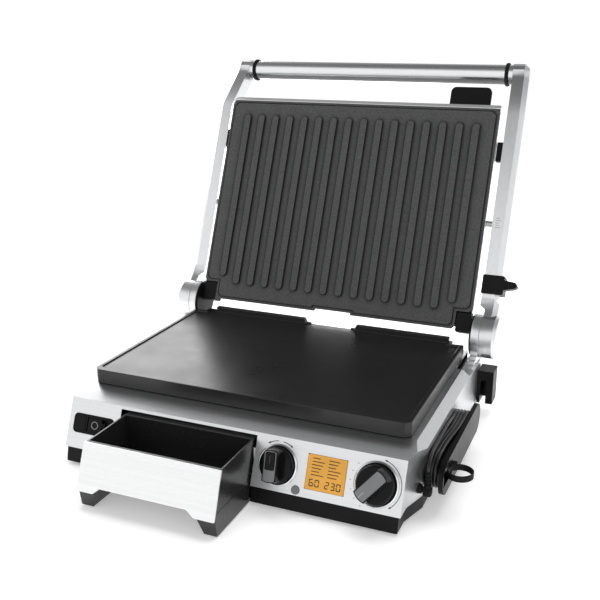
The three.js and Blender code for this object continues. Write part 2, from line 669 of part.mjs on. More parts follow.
function arm() {
  const a = ARM;
  const [x0, x1, x2] = OUTER_DISC;
  const r = HINGE.radius;
  const { w, u } = AXIS_IN_LID;
  const disc = turnedX([[0, x0], [r, x0], [r, x1], [r - 2.5, x1 + 4], [r - 9, x2], [0, x2]], 40);
  const depth = a.chamfer + 0.5;
  const chamfer = {
    bevelEnabled: true,
    bevelThickness: depth,
    bevelSize: a.chamfer,
    bevelOffset: -a.chamfer,
    bevelSegments: 1,
  };
  const barBlank = alongX(armOutline(), a.x0 - 30, a.x1 - depth, 5, chamfer);
  const neckBlank = alongX(neckOutline(), a.x0 - 30, a.x1 + 1.5 - depth, 6, chamfer);
  const bar = leanInwards(common(barBlank, box(a.x0, a.x1, -50, 100, 30, 400)));
  const [wide, top] = [230, a.neckTop + 1];
  const flank = [[x0, u - 9], [wide, u - 9], [wide, top], [a.x0, top], [a.x0, 34], [x0, 29]];
  const neck = common(neckBlank, alongY(outline(flank), -40, 40));
  const bore = rodX(HINGE.pinRadius + GAP, x0 - 1, 215.5, w, u, 20);
  return cut(join(disc.translate(0, w, u), neck, common(bar, alongY(armTopOutline(), -60, 110, 6))), bore);
}

function heightClip() {
  const a = ARM;
  const [u0, u1] = [49.5, 73.5];
  const sleeve = cut(
    box(a.x0 - 1.6, a.x1 + 4.6, a.front - 3.6, a.back + 3, u0, u1),
    box(a.x0 - GAP, a.x1 + GAP, a.front - GAP, a.back + GAP, u0 - 5, u1 + 5),
  );
  const tab = [[3, 6], [18, 9.5], [21, 12.5], [18, 17.5], [3, 19]].map(([x, u]) => [a.x1 + x, u0 + u]);
  const thumb = alongY(outline(tab), -6, 10);
  return join(sleeve, thumb);
}

// side outline of the floating housing: thick by the hinge, thin towards the handle, with a rounded nose
function shellOutline(inset, front) {
  const s = SHELL;
  return outline([
    [front, 1.5 + inset], [20, 9.4 + inset], [44 - inset, 16 + inset],
    [s.back - inset, 40], [s.back - inset, 120],
    [30 - inset, 255 - inset], [8 - inset, 291 - inset], [1, 294.5 - inset], [-5, 292.5 - inset],
    [s.rim, s.top - inset], [front, s.top - inset],
  ]);
}

function lidShell() {
  const s = SHELL;
  const form = (inset, front) => {
    const rimX = s.halfWidth - inset;
    const wallX = rimX - s.draft;
    const backX = wallX - (s.back - s.wallBack) * s.sideSlope;
    const right = [[rimX, front], [rimX, s.rim], [wallX, s.wallBack], [backX, s.back]];
    return common(
      alongX(shellOutline(inset, front), -rimX, rimX),
      alongY(roundedOutline(-rimX, rimX, 1.5 + inset, 294.5 - inset, 7 - inset), front, s.back),
      extrude(outline([...right, ...right.map(([x, w]) => [-x, w]).reverse()]), 0, 300),
    );
  };
  const corner = box(CORNER.x0 - GAP, s.halfWidth + 2, s.rim - 5, CORNER.w1 + GAP, -5, CORNER.u1 + GAP);
  const lipRoom = box(-CORNER.x0 - 1, CORNER.x0 + 1, s.rim - 5, LID_PLATE_DEPTH.back + 1, -5, 12);
  return cut(
    form(0, s.rim), form(WALL, s.rim - 5), corner, mirrorX(corner), lipRoom,
    rodX(PIVOT.radius + GAP, 180, 200, PIVOT.w, PIVOT.u, 16),
    rodX(PIVOT.radius + GAP, -200, -180, PIVOT.w, PIVOT.u, 16),
    box(LEVER.x0 - 1.5, LEVER.x1 + 1.5, LEVER.w0 - 1, LEVER.w1 + 4, 275, 300),
  );
}

function lidPlateOutline(inset) {
  const p = LID_PLATE;
  const x = p.halfWidth - inset;
  const notch = p.notchX - inset;
  const [low, mid, top] = [p.bottom + inset, p.notchU + inset, p.top - inset];
  const { x0, x1, depth } = LIP_RECESS;
  const lipTop = low + depth;
  return outline([
    [notch - 4, low], [x1 + inset, low], [x1 - 1 + inset, lipTop], [x0 + 1 - inset, lipTop], [x0 - inset, low],
    [-notch + 4, low], [-notch, low + 4], [-notch, mid], [-x + 4, mid], [-x, mid + 4],
    [-x, top - 5], [-x + 5, top], [x - 5, top], [x, top - 5],
    [x, mid + 4], [x - 4, mid], [notch, mid], [notch, low + 4],
  ]);
}

function lidPlate() {
  const d = LID_PLATE_DEPTH;
  const flange = alongY(lidPlateOutline(0), d.flange, d.rimBack);
  const skirt = alongY(lidPlateOutline(2.2), d.flange + 0.5, d.back);
  const field = alongY(lidPlateOutline(4.5), d.field, d.rimBack);
  const pocket = alongY(lidPlateOutline(6.5), d.rimBack + 2, d.back + 5);
  const groove = cut(
    alongY(lidPlateOutline(3), d.flange - 1, d.flange + 1),
    alongY(lidPlateOutline(4.5), d.flange - 2, d.flange + 2),
  );
  const half = ((RIBS.count - 1) * RIBS.pitch) / 2;
  const ribs = Array.from({ length: RIBS.count }, (_, i) => {
    const x = i * RIBS.pitch - half;
    const outer = i === 0 || i === RIBS.count - 1;
    const low = outer ? RIBS.outerBottom : RIBS.bottom;
    const w = RIBS.width / 2;
    return alongY(roundedOutline(x - w, x + w, low, RIBS.top, w - 0.5), d.rib, d.field + 1, 3);
  });
  return join(cut(join(flange, skirt, field), pocket, groove), ...ribs);
}

function lidLever() {
  const l = LEVER;
  const inner = box(l.x0 + 4, l.x1 - 4, l.w0, l.w1, 268, 284);
  const shape = new THREE.Shape();
  shape.moveTo(l.x0, 282);
  shape.lineTo(l.x1, 282);
  shape.absarc(l.x1 - l.radius, l.top - l.radius, l.radius, 0, Math.PI / 2);
  shape.absarc(l.x0 + l.radius, l.top - l.radius, l.radius, Math.PI / 2, Math.PI);
  return join(inner, alongY(shape, l.w0, l.w1));
}

// open box behind the lid plate, with a gap at the bottom for the element's leads
function heatShield() {
  const [halfX, depth, low, high, wall] = [178, 16, 30, 262, 2];
  const outer = box(-halfX, halfX, 0, depth, low, high);
  const inner = box(-halfX + wall, halfX - wall, -wall, depth - wall, low + wall, high - wall);
  const leads = box(-30, 30, -1, depth - 3, low - 5, low + 10);
  return cut(outer, inner, leads);
}

function addLid() {
  addPair(lid, 'arm', arm(), CAST);
  const grip = cut(
    leanInwards(bare(rodX(HANDLE.radius, -ARM.x0 + GAP, ARM.x0 - GAP, HANDLE.w, HANDLE.u, 36))),
    rodX(HANDLE.bore, -ARM.x0 - 5, ARM.x0 + 5, HANDLE.w, HANDLE.u, 24),
  );
  add(lid, 'handle_tube', grip, BRIGHT);
  const ring = turnedX([
    [13.3, 181.8], [14.6, 181.8], [15.4, 182.8], [15.4, 185.6], [14.6, 186.6], [13.3, 186.6], [13.3, 181.8],
  ], 20);
  addPair(lid, 'handle_ring', ring.translate(0, HANDLE.w, HANDLE.u), RUBBER);
  addPair(lid, 'pivot_pin', rodX(PIVOT.radius, 184.5, ARM.x0 - GAP, PIVOT.w, PIVOT.u, 20), STEEL);
  add(lid, 'height_clip', heightClip(), BLACK_PLASTIC);
  add(lid, 'lid_housing', lidShell(), BRUSHED);
  addPair(lid, 'side_bumper', box(189.2, 196.4, 0, 9, 221, 246), RUBBER);
  const c = CORNER;
  const block = alongY(roundedOutline(c.x0, c.x1, c.u0, c.u1, 2.5), c.w0, c.w1);
  addPair(lid, 'corner_block', block, BLACK_PLASTIC);
  add(lid, 'lid_heat_shield', heatShield(), STEEL);
  const loop = elementLoop(140, 60, 262, 0).map(([x, u]) => [x, 6, 300 - u]);
  add(lid, 'lid_element', tube(loop, 3.2, 36, 6), STEEL);
  add(lid, 'lid_release_lever', lidLever(), BLACK_PLASTIC);
  add(lid, 'lid_plate', lidPlate(), NONSTICK_GREY);
}

// ---------- food probe and its storage ----------
function stadium(s, inset = 0) {
  const r = (s.z1 - s.z0) / 2 - inset;
  return roundedOutline(s.y0 + inset, s.y1 - inset, s.z0 + inset, s.z1 - inset, r - 0.01);
}

function probeSpool() {
  const s = SPOOL;
  const plate = SPOOL_PLATE;
  const windings = 6.5; // thickness of the wound cord around the core
  const core = alongX(stadium(s, windings), BASE_HALF_WIDTH + GAP, s.x1 + 1);
  const cover = alongX(stadium(plate), s.x1 + 0.4, plate.x1, 6);
  const bore = rodY(1.7, -95, 18, PROBE.spikeX, PROBE.z, 12);
  const window = box(s.x1, plate.x1 + 1, -125, -87.5, 35, PROBE.z + 4.7); // for the cord's end and the stem
  const hollow = alongX(stadium(s, windings + 3), BASE_HALF_WIDTH - 1, s.x1 - 2);
  return cut(join(core, cover), bore, window, hollow);
}

function probeConnector() {
  const c = CONNECTOR;
  const plug = turnedX([[0, 206.2], [5.5, 206.2], [5.5, 212.6], [4, 214.2], [0, 214.2]], 20);
  const spigot = rodX(3, 199.5, 206.6, c.y, c.z + 1.5, 12);
  const profile = [[0, c.z + 2]];
  const ribs = 4;
  const pitch = (c.top - c.z - 6) / ribs;
  for (let i = 0; i < ribs; i++) {
    const z = c.z + 6 + i * pitch;
    const r = 3.6 - i * 0.22;
    const low = i ? z : c.z + 2;
    const high = z + pitch;
    profile.push([r, low], [r, high - pitch * 0.45], [r - 0.9, high - pitch * 0.4], [r - 0.9, high]);
  }
  profile.push([0, c.top]);
  return join(plug.translate(0, c.y, c.z), spigot, turned(profile, 12).translate(c.x, c.y, 0));
}

function probeHandle() {
  const p = PROBE;
  const half = p.band / 2;
  const ring = turned(ringProfile(p.ringInner, p.ringOuter, -half, half), 32).translate(p.x, p.y, p.z);
  const stem = common(
    box(SPOOL.x1 + 1.3, 232, -101, -88 - GAP, p.z - 3.2, p.z + 3.2),
    extrude(outline([[SPOOL.x1, -98], [228, -101], [232, -97], [230, -88], [SPOOL.x1, -90]]), 0, 100),
  );
  const bore = rodY(1.9, -93, -80, p.spikeX, p.z, 12);
  const clear = rodZ(p.ringInner, p.z - 20, p.z + 20, p.x, p.y, 32);
  return cut(join(ring, stem), bore, clear);
}

// the cord from the connector up and over the windings
const LEAD_ROUTE = [
  [210, -127.5, 52.3], [210, -127.5, 54.2], [209.8, -126, 56.6], [209.4, -122.5, 58.9], [209, -117.5, 60.6],
  [208.5, -111.5, 61.6], [208, -105, 61.95], [207.6, -98, 62],
];

function addProbe() {
  const port = turnedX(ringProfile(3.4, 4.9, 197.5, 204.6), 20).translate(0, CONNECTOR.y, CONNECTOR.z + 1.5);
  add(press, 'probe_port', port, BLACK_PLASTIC);
  add(press, 'probe_spool', probeSpool(), BLACK_PLASTIC);
  add(press, 'probe_connector', probeConnector(), RUBBER);
  add(press, 'probe_cord_lead', tube(LEAD_ROUTE, CORD_DIAMETER / 2, 12, 8), RUBBER);
  const hank = withHole(stadium(SPOOL), stadium(SPOOL, 6.1));
  add(press, 'probe_cord_hank', alongX(hank, SPOOL.x0, SPOOL.x1, 6), RUBBER);
  add(press, 'probe_handle', probeHandle(), RUBBER);
  add(press, 'probe_spike', rodY(1.4, -92, 14, PROBE.spikeX, PROBE.z, 12), STEEL);
}

addBase();
addDials();
addDisplay();
addPlateRelease();
addDripTray();
addLid();
addProbe();

export default press;
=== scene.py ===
"""Looks for the panini press: brushed steel housings, cast arms, non-stick plates and a food probe.

Everything is in metres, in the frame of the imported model. Places come from the frame's nodes and joints.
"""
import json
import math

import bmesh
import bpy
from mathutils import Matrix, Vector


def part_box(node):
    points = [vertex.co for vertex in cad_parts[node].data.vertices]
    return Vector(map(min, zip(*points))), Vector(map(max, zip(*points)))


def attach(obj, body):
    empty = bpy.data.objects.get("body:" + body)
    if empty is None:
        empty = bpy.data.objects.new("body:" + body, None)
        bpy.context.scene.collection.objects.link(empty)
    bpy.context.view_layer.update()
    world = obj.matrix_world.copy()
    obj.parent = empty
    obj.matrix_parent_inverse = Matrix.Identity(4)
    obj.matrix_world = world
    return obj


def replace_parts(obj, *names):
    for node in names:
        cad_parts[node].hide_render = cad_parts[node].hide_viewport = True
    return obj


MM = 0.001
X = Vector((1, 0, 0))
Y = Vector((0, 1, 0))
Z = Vector((0, 0, 1))

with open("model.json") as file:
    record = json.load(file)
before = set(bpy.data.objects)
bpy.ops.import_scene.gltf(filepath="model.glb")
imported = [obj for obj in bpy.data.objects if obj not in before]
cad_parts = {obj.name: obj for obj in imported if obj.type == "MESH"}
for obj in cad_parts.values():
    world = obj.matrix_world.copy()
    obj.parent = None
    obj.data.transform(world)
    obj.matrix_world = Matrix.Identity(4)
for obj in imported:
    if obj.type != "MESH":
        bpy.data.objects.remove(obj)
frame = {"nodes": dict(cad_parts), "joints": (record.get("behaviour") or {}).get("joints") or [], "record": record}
NODES = frame["nodes"]
JOINTS = {joint["name"]: joint for joint in frame["joints"]}
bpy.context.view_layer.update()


# ---------- frames of reference ----------
class Place:
    """A turned frame, in millimetres: origin in metres, and three axes."""

    def __init__(self, origin, across, up, out):
        self.origin = Vector(origin)
        self.axes = (Vector(across), Vector(up), Vector(out))

    def point(self, a, b, c):
        offset = self.axes[0] * a + self.axes[1] * b + self.axes[2] * c
        return self.origin + offset * MM

    def matrix(self):
        turn = Matrix((self.axes[0], self.axes[1], self.axes[2])).transposed().to_4x4()
        return Matrix.Translation(self.origin) @ turn @ Matrix.Scale(MM, 4)

    def moved(self, a, b, c, turn=0.0):
        """The same frame, moved and then turned about its third axis."""
        spin = Matrix.Rotation(turn, 3, self.axes[2])
        return Place(self.point(a, b, c), spin @ self.axes[0], spin @ self.axes[1], self.axes[2])

    def extent(self, node):
        """Lowest and highest corner of a node, measured in this frame."""
        spread = [Vector(v.co) - self.origin for v in NODES[node].data.vertices]
        rows = [[p.dot(axis) / MM for p in spread] for axis in self.axes]
        return Vector([min(r) for r in rows]), Vector([max(r) for r in rows])


def middle(node):
    low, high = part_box(node)
    return (low + high) / 2


PANEL_OUT = Vector(JOINTS["food_dial_turn"]["axis"]).normalized()


def panel_place(joint):
    """The control panel's frame, with its origin on a joint."""
    return Place(JOINTS[joint]["pos_m"], X, PANEL_OUT.cross(X), PANEL_OUT)


PANEL = panel_place("food_dial_turn")
LID_DEPTH = Vector(JOINTS["lid_plate_lift"]["axis"]).normalized()
LID_UP = Vector(JOINTS["height_clip_slide"]["axis"]).normalized()
LID = Place(JOINTS["lid_hinge"]["pos_m"], X, LID_UP, -LID_DEPTH)
WORLD = Place((0, 0, 0), X, Y, Z)


# ---------- camera ----------
CAMERA_PLACE = Vector((375.6, -913.6, 464.9)) * MM
CAMERA_AZIMUTH = math.radians(22.76)
CAMERA_PITCH = math.radians(17.54)
CAMERA_LENS = 51.22
CAMERA_SENSOR = 36


def make_camera():
    level = Vector((-math.sin(CAMERA_AZIMUTH), math.cos(CAMERA_AZIMUTH), 0))
    aim = level * math.cos(CAMERA_PITCH) - Z * math.sin(CAMERA_PITCH)
    data = bpy.data.cameras.new("camera")
    data.lens = CAMERA_LENS
    data.sensor_width = CAMERA_SENSOR
    camera = bpy.data.objects.new("camera", data)
    camera.location = CAMERA_PLACE
    camera.rotation_euler = aim.to_track_quat("-Z", "Y").to_euler()
    bpy.context.scene.collection.objects.link(camera)
    bpy.context.scene.camera = camera


# ---------- materials ----------
NOISE_MIDDLE = (0.3, 0.7)  # noise seldom leaves this span
NOISE_ROUGHNESS = 0.6  # how much its finer layers count
OPEN_SKY = (0.8, 1.0)  # painted crevice shade: a crevice's colour darkens while its open share is between these
PAINTED_CREVICE_SHADE = 0.06  # painted shade: what is left of the colour deep in a crevice


class Finish:
    """A Principled material under construction."""

    def __init__(self, name, color, roughness, metallic=0.0, **inputs):
        self.material = bpy.data.materials.new(name)
        self.material.use_nodes = True
        self.tree = self.material.node_tree
        self.shader = self.tree.nodes["Principled BSDF"]
        self.color = (*color, 1)
        self.shader.inputs["Base Color"].default_value = self.color
        self.shader.inputs["Roughness"].default_value = roughness
        self.shader.inputs["Metallic"].default_value = metallic
        for key, value in inputs.items():
            self.shader.inputs[key.replace("_", " ")].default_value = value
        self.place = self.node("ShaderNodeTexCoord").outputs["Object"]

    def node(self, kind, **settings):
        node = self.tree.nodes.new(kind)
        for key, value in settings.items():
            setattr(node, key, value)
        return node

    def link(self, source, target):
        self.tree.links.new(source, target)

    def noise(self, per_metre, detail, turn=(0, 0, 0)):
        """Noise with its own frequency along each axis, so streaks are low along one of them."""
        mapping = self.node("ShaderNodeMapping")
        mapping.inputs["Rotation"].default_value = turn
        mapping.inputs["Scale"].default_value = per_metre
        noise = self.node("ShaderNodeTexNoise")
        noise.inputs["Scale"].default_value = 1
        noise.inputs["Detail"].default_value = detail
        noise.inputs["Roughness"].default_value = NOISE_ROUGHNESS
        self.link(self.place, mapping.inputs["Vector"])
        self.link(mapping.outputs["Vector"], noise.inputs["Vector"])
        return noise.outputs["Fac"]

    def spread(self, source, low, high, start=NOISE_MIDDLE[0], stop=NOISE_MIDDLE[1]):
        """The source, stretched from start..stop to low..high."""
        span = self.node("ShaderNodeMapRange")
        span.inputs["From Min"].default_value = start
        span.inputs["From Max"].default_value = stop
        span.inputs["To Min"].default_value = low
        span.inputs["To Max"].default_value = high
        self.link(source, span.inputs["Value"])
        return span.outputs["Result"]

    def roughness(self, source, low, high):
        self.link(self.spread(source, low, high), self.shader.inputs["Roughness"])

    def tint(self, source, dark, light, start=NOISE_MIDDLE[0], stop=NOISE_MIDDLE[1]):
        """Colour between two shades of the base colour."""
        mix = self.node("ShaderNodeMix", data_type="RGBA")
        for socket, factor in (("A", dark), ("B", light)):
            shade = [min(1, c * factor) for c in self.color[:3]]
            entry = [i for i in mix.inputs if i.name == socket and i.type == "RGBA"][0]
            entry.default_value = (*shade, 1)
        self.link(self.spread(source, 0, 1, start, stop), mix.inputs["Factor"])
        result = [o for o in mix.outputs if o.type == "RGBA"][0]
        self.link(result, self.shader.inputs["Base Color"])

    def paint_crevice_shade(self, reach):
        """Painted crevice shade: darker colour where another surface stands within reach, in metres."""
        occlusion = self.node("ShaderNodeAmbientOcclusion")
        occlusion.inputs["Distance"].default_value = reach
        socket = self.shader.inputs["Base Color"]
        mix = self.node("ShaderNodeMixRGB", blend_type="MULTIPLY")
        mix.inputs["Fac"].default_value = 1
        self.link(socket.links[0].from_socket, mix.inputs["Color1"])
        shade = self.spread(occlusion.outputs["AO"], PAINTED_CREVICE_SHADE, 1, *OPEN_SKY)
        self.link(shade, mix.inputs["Color2"])
        self.link(mix.outputs["Color"], socket)

    def bump(self, source, height, strength):
        """Relief of a height in metres."""
        bump = self.node("ShaderNodeBump")
        bump.inputs["Strength"].default_value = strength
        bump.inputs["Distance"].default_value = height
        self.link(source, bump.inputs["Height"])
        self.link(bump.outputs["Normal"], self.shader.inputs["Normal"])


BRUSH_RELIEF = 0.00002
BRUSH_STRENGTH = 0.35
BROAD_STREAKS = 0.12  # their frequency against the fine streaks'
BROAD_TINT = (0.97, 1.03)
GRAIN_STRENGTH = 0.4
PATCHES = (25, 25, 25)  # per metre, uneven gloss

# streaks and grains per metre along x, y and z
ALONG_X = (6, 1800, 1800)
ALONG_Z = (1800, 1800, 6)
UNBRUSHED = (400, 400, 400)
LEAN = math.acos(LID_UP.z)
UPRIGHT_ARM = (-LEAN, 0, 0)  # turns the arms' streaks along the lid

DULL = {"Specular_IOR_Level": 0.14}  # for blacks that mirror little


def brushed(name, color, low, high, per_metre, turn=(0, 0, 0)):
    """Metal brushed along the axis with the lowest frequency. Roughness runs from low to high."""
    finish = Finish(name, color, low, 1.0)
    fine = finish.noise(per_metre, 4.0, turn)
    broad = finish.noise([f * BROAD_STREAKS for f in per_metre], 2.0, turn)
    finish.roughness(fine, low, high)
    finish.tint(broad, *BROAD_TINT)
    finish.bump(fine, BRUSH_RELIEF, BRUSH_STRENGTH)
    return finish.material


def cast(name, color, low, high, grain, relief, crevice_shade_reach=0.0, speckle=0.18, **inputs):
    """A fine-grained surface: sprayed coating, moulded plastic or print. Roughness runs from low to high. A reach
    in metres adds painted shade in crevices.
    """
    finish = Finish(name, color, low, **inputs)
    grains = finish.noise((grain,) * 3, 2.0)
    patches = finish.noise(PATCHES, 3.0)
    finish.roughness(patches, low, high)
    finish.tint(grains, 1 - speckle, 1 + speckle)
    finish.bump(grains, relief, GRAIN_STRENGTH)
    # painted shade in crevices, within the given reach
    if crevice_shade_reach:
        finish.paint_crevice_shade(crevice_shade_reach)
    return finish.material


def make_materials():
    return {
        "brushed_panel": brushed("brushed_panel", (0.86, 0.865, 0.87), 0.24, 0.38, ALONG_X),
        "satin_deck": brushed("satin_deck", (0.73, 0.74, 0.75), 0.26, 0.4, ALONG_X),
        "cast_arm": brushed("cast_arm", (0.76, 0.77, 0.78), 0.26, 0.38, ALONG_Z, UPRIGHT_ARM),
        "bright_steel": brushed("bright_steel", (0.82, 0.83, 0.84), 0.14, 0.24, ALONG_X),
        "grip_steel": grip_steel(),
        "inner_steel": brushed("inner_steel", (0.5, 0.51, 0.52), 0.3, 0.45, ALONG_X),
        "nonstick_lower": cast("nonstick_lower", (0.009, 0.009, 0.0095), 0.27, 0.35, 2600, 0.00003),
        # the upper plate gets painted shade at the feet of its ribs
        "nonstick_upper": cast(
            "nonstick_upper", (0.047, 0.048, 0.049), 0.42, 0.52, 480, 0.0003, crevice_shade_reach=0.01, speckle=0.36,
        ),
        "black_plastic": cast("black_plastic", (0.004, 0.004, 0.0045), 0.34, 0.44, 2200, 0.00004, **DULL),
        "tray_plastic": cast("tray_plastic", (0.018, 0.018, 0.019), 0.2, 0.3, 900, 0.00001),
        "gloss_black": cast("gloss_black", (0.005, 0.005, 0.0055), 0.12, 0.18, 300, 0.000004, **DULL),
        "grey_plastic": cast("grey_plastic", (0.16, 0.165, 0.17), 0.34, 0.44, 2200, 0.00003),
        "rubber": cast("rubber", (0.007, 0.007, 0.008), 0.5, 0.65, 1500, 0.00005, **DULL),
        "cord_skin": cast("cord_skin", (0.012, 0.012, 0.013), 0.26, 0.34, 1500, 0.00001),
        "lcd_amber": lit_display(),
        "circuit_board": cast("circuit_board", (0.02, 0.14, 0.06), 0.35, 0.5, 700, 0.00004),
        "print_black": cast("print_black", (0.02, 0.02, 0.02), 0.45, 0.55, 1800, 0.000005),
        "print_grey": cast("print_grey", (0.3, 0.31, 0.32), 0.45, 0.55, 1800, 0.000005),
        "dial_face": brushed("dial_face", (0.2, 0.205, 0.21), 0.3, 0.42, UNBRUSHED),
        "digit_dark": cast("digit_dark", (0.035, 0.014, 0.004), 0.4, 0.5, 1500, 0.000005),
    }


PAINTED_REFLECTION_SPAN = (-0.45, -0.05)  # painted reflection: the tube's colour darkens where its normal's z falls through this span, in place of the dark lid it mirrors
# share of the colour that the painted reflection leaves at the bottom of the tube
PAINTED_REFLECTION_SHADE = 0.13


def grip_steel():
    """Drawn tube with a painted reflection: its colour is darker on its underside, in place of the dark lid it
    mirrors.
    """
    finish = Finish("grip_steel", (0.8, 0.81, 0.82), 0.22, 1.0)
    fine = finish.noise(ALONG_X, 4.0)
    normal = finish.node("ShaderNodeSeparateXYZ")
    finish.link(finish.node("ShaderNodeTexCoord").outputs["Normal"], normal.inputs["Vector"])
    # painted reflection: darker colour on the tube's underside
    finish.tint(normal.outputs["Z"], PAINTED_REFLECTION_SHADE, 1.0, *PAINTED_REFLECTION_SPAN)
    finish.roughness(fine, 0.2, 0.3)
    finish.bump(fine, BRUSH_RELIEF, BRUSH_STRENGTH)
    return finish.material


def lit_display():
    """Amber display, lit a little unevenly behind a glossy window."""
    finish = Finish("lcd_amber", (0.72, 0.34, 0.025), 0.3, Coat_Weight=0.3, Emission_Strength=0.08)
    finish.shader.inputs["Emission Color"].default_value = (0.9, 0.45, 0.03, 1)
    finish.tint(finish.noise((30, 30, 30), 2.0), 0.9, 1.08)
    return finish.material


# ---------- mesh helpers ----------
SHARP_ANGLE = math.radians(38)
BEVEL_ANGLE = math.radians(24)
WELD_DISTANCE = 0.00001  # metres
SAME_POINT = 1e-5  # millimetres
EMPTY_AREA = 1e-9  # square millimetres
ALMOST_NOTHING = 1e-9


def smooth_nodes():
    """Geometry nodes: smooth faces and sharp creases, in place of the imported normals."""
    tree = bpy.data.node_groups.new("smooth_by_angle", "GeometryNodeTree")
    tree.interface.new_socket("Geometry", in_out="INPUT", socket_type="NodeSocketGeometry")
    tree.interface.new_socket("Geometry", in_out="OUTPUT", socket_type="NodeSocketGeometry")
    start, stop = tree.nodes.new("NodeGroupInput"), tree.nodes.new("NodeGroupOutput")
    drop = tree.nodes.new("GeometryNodeRemoveAttribute")
    drop.inputs["Name"].default_value = "custom_normal"
    faces = tree.nodes.new("GeometryNodeSetShadeSmooth")
    faces.domain = "FACE"
    edges = tree.nodes.new("GeometryNodeSetShadeSmooth")
    edges.domain = "EDGE"
    edges.inputs["Shade Smooth"].default_value = False
    angle = tree.nodes.new("GeometryNodeInputMeshEdgeAngle")
    sharper = tree.nodes.new("FunctionNodeCompare")
    sharper.inputs["B"].default_value = SHARP_ANGLE
    tree.links.new(angle.outputs["Unsigned Angle"], sharper.inputs["A"])
    tree.links.new(start.outputs["Geometry"], drop.inputs["Geometry"])
    tree.links.new(drop.outputs["Geometry"], faces.inputs["Geometry"])
    tree.links.new(faces.outputs["Geometry"], edges.inputs["Geometry"])
    tree.links.new(sharper.outputs["Result"], edges.inputs["Selection"])
    tree.links.new(edges.outputs["Geometry"], stop.inputs["Geometry"])
    return tree


SMOOTH = smooth_nodes()


def soften(piece, width=0.5, segments=2):
    """Welds the mesh, rounds its edges by width millimetres and shades it smooth between creases."""
    weld = piece.modifiers.new("weld", "WELD")
    weld.merge_threshold = WELD_DISTANCE
    if width:
        bevel = piece.modifiers.new("edges", "BEVEL")
        bevel.width = width * MM
        bevel.segments = segments
        bevel.limit_method = "ANGLE"
        bevel.angle_limit = BEVEL_ANGLE
        bevel.use_clamp_overlap = True
    smooth = piece.modifiers.new("smooth", "NODES")
    smooth.node_group = SMOOTH
    even = piece.modifiers.new("even", "WEIGHTED_NORMAL")
    even.keep_sharp = True
    return piece


def make_piece(name, mesh, body, material, place=WORLD):
    """A mesh drawn in a place's millimetres becomes a piece that rides on a body."""
    mesh.transform(place.matrix())
    mesh.materials.append(MATERIALS[material])
    piece = bpy.data.objects.new(name, mesh)
    bpy.context.scene.collection.objects.link(piece)
    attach(piece, body)
    return piece


def mesh_from(name, points, faces):
    mesh = bpy.data.meshes.new(name)
    mesh.from_pydata([tuple(p) for p in points], [], faces)
    mesh.validate()
    return mesh


def turned(name, profile, segments=96, axis=2):
    """A closed [radius, height] profile turned about one of the place's axes."""
    points, faces = [], []
    count = len(profile)
    for i in range(segments):
        angle = 2 * math.pi * i / segments
        for radius, height in profile:
            spot = [radius * math.cos(angle), radius * math.sin(angle)]
            spot.insert(axis, height)
            points.append(spot)
    for i in range(segments):
        here, there = i * count, ((i + 1) % segments) * count
        for k in range(count):
            n = (k + 1) % count
            faces.append((here + k, there + k, there + n, here + n))
    return cleaned(mesh_from(name, points, faces))


def cleaned(mesh):
    """Merges what coincides and points the faces outwards."""
    work = bmesh.new()
    work.from_mesh(mesh)
    bmesh.ops.remove_doubles(work, verts=work.verts, dist=SAME_POINT)
    flat = [f for f in work.faces if f.calc_area() < EMPTY_AREA]
    bmesh.ops.delete(work, geom=flat, context="FACES_ONLY")
    bmesh.ops.recalc_face_normals(work, faces=work.faces)
    work.to_mesh(mesh)
    work.free()
    return mesh


def prism(name, outline, low, high, taper=0.0):
    """An outline of (a, b) points drawn out along the third axis. The top pulls in by taper."""
    count = len(outline)
    mean = [sum(p[k] for p in outline) / count for k in (0, 1)]
    points = [(a, b, low) for a, b in outline]
    for a, b in outline:
        reach = math.hypot(a - mean[0], b - mean[1]) or 1
        shrink = 1 - taper / reach
        points.append((mean[0] + (a - mean[0]) * shrink, mean[1] + (b - mean[1]) * shrink, high))
    sides = [(k, (k + 1) % count, (k + 1) % count + count, k + count) for k in range(count)]
    ends = [tuple(range(count)), tuple(range(count, 2 * count))]
    return cleaned(mesh_from(name, points, sides + ends))


def rounded(a0, a1, b0, b1, r, steps=6):
    """Outline of a rectangle with round corners."""
    corners = [(a1 - r, b0 + r, -90), (a1 - r, b1 - r, 0), (a0 + r, b1 - r, 90), (a0 + r, b0 + r, 180)]
    points = []
    for a, b, start in corners:
        for i in range(steps + 1):
            angle = math.radians(start + 90 * i / steps)
            points.append((a + r * math.cos(angle), b + r * math.sin(angle)))
    return points


def arc_band(radius, width, start, stop, steps=24):
    """Outline of a curved stripe. Angles in degrees, from the first axis."""
    def ring(r, order):
        angles = [math.radians(start + (stop - start) * i / steps) for i in order]
        return [(r * math.cos(t), r * math.sin(t)) for t in angles]
    return ring(radius + width / 2, range(steps + 1)) + ring(radius - width / 2, range(steps, -1, -1))


def arrow_head(radius, angle, size, way):
    """Small triangle at an angle on a circle, pointing one way round it."""
    length, half_width = size * 1.5, size * 0.55
    foot = math.radians(angle)
    tip = foot + way * length / radius
    corners = [(radius + half_width, foot), (radius - half_width, foot), (radius, tip)]
    return [(r * math.cos(a), r * math.sin(a)) for r, a in corners]


def merged(name, meshes):
    """One mesh of several. The several are used up."""
    work = bmesh.new()
    for mesh in meshes:
        work.from_mesh(mesh)
        bpy.data.meshes.remove(mesh)
    whole = bpy.data.meshes.new(name)
    work.to_mesh(whole)
    work.free()
    return whole


# ---------- food probe's cord ----------
CORD_DIAMETER = 3.5
CORD_TURNS = 4
CORD_GAP = 0.1  # between the winding and the box of the plain solid it replaces

# from the connector's end round a soft bend up to the spool, in millimetres
LEAD_STEPS = [
    (0, 0, 0), (0, 0, 1.9), (-0.2, 1.5, 4.3), (-0.6, 5, 6.6), (-1, 10, 8.3),
    (-1.5, 16, 9.3), (-2, 22.5, 9.65), (-2.5, 29.5, 9.7), (-2.7, 40, 9.7),
]
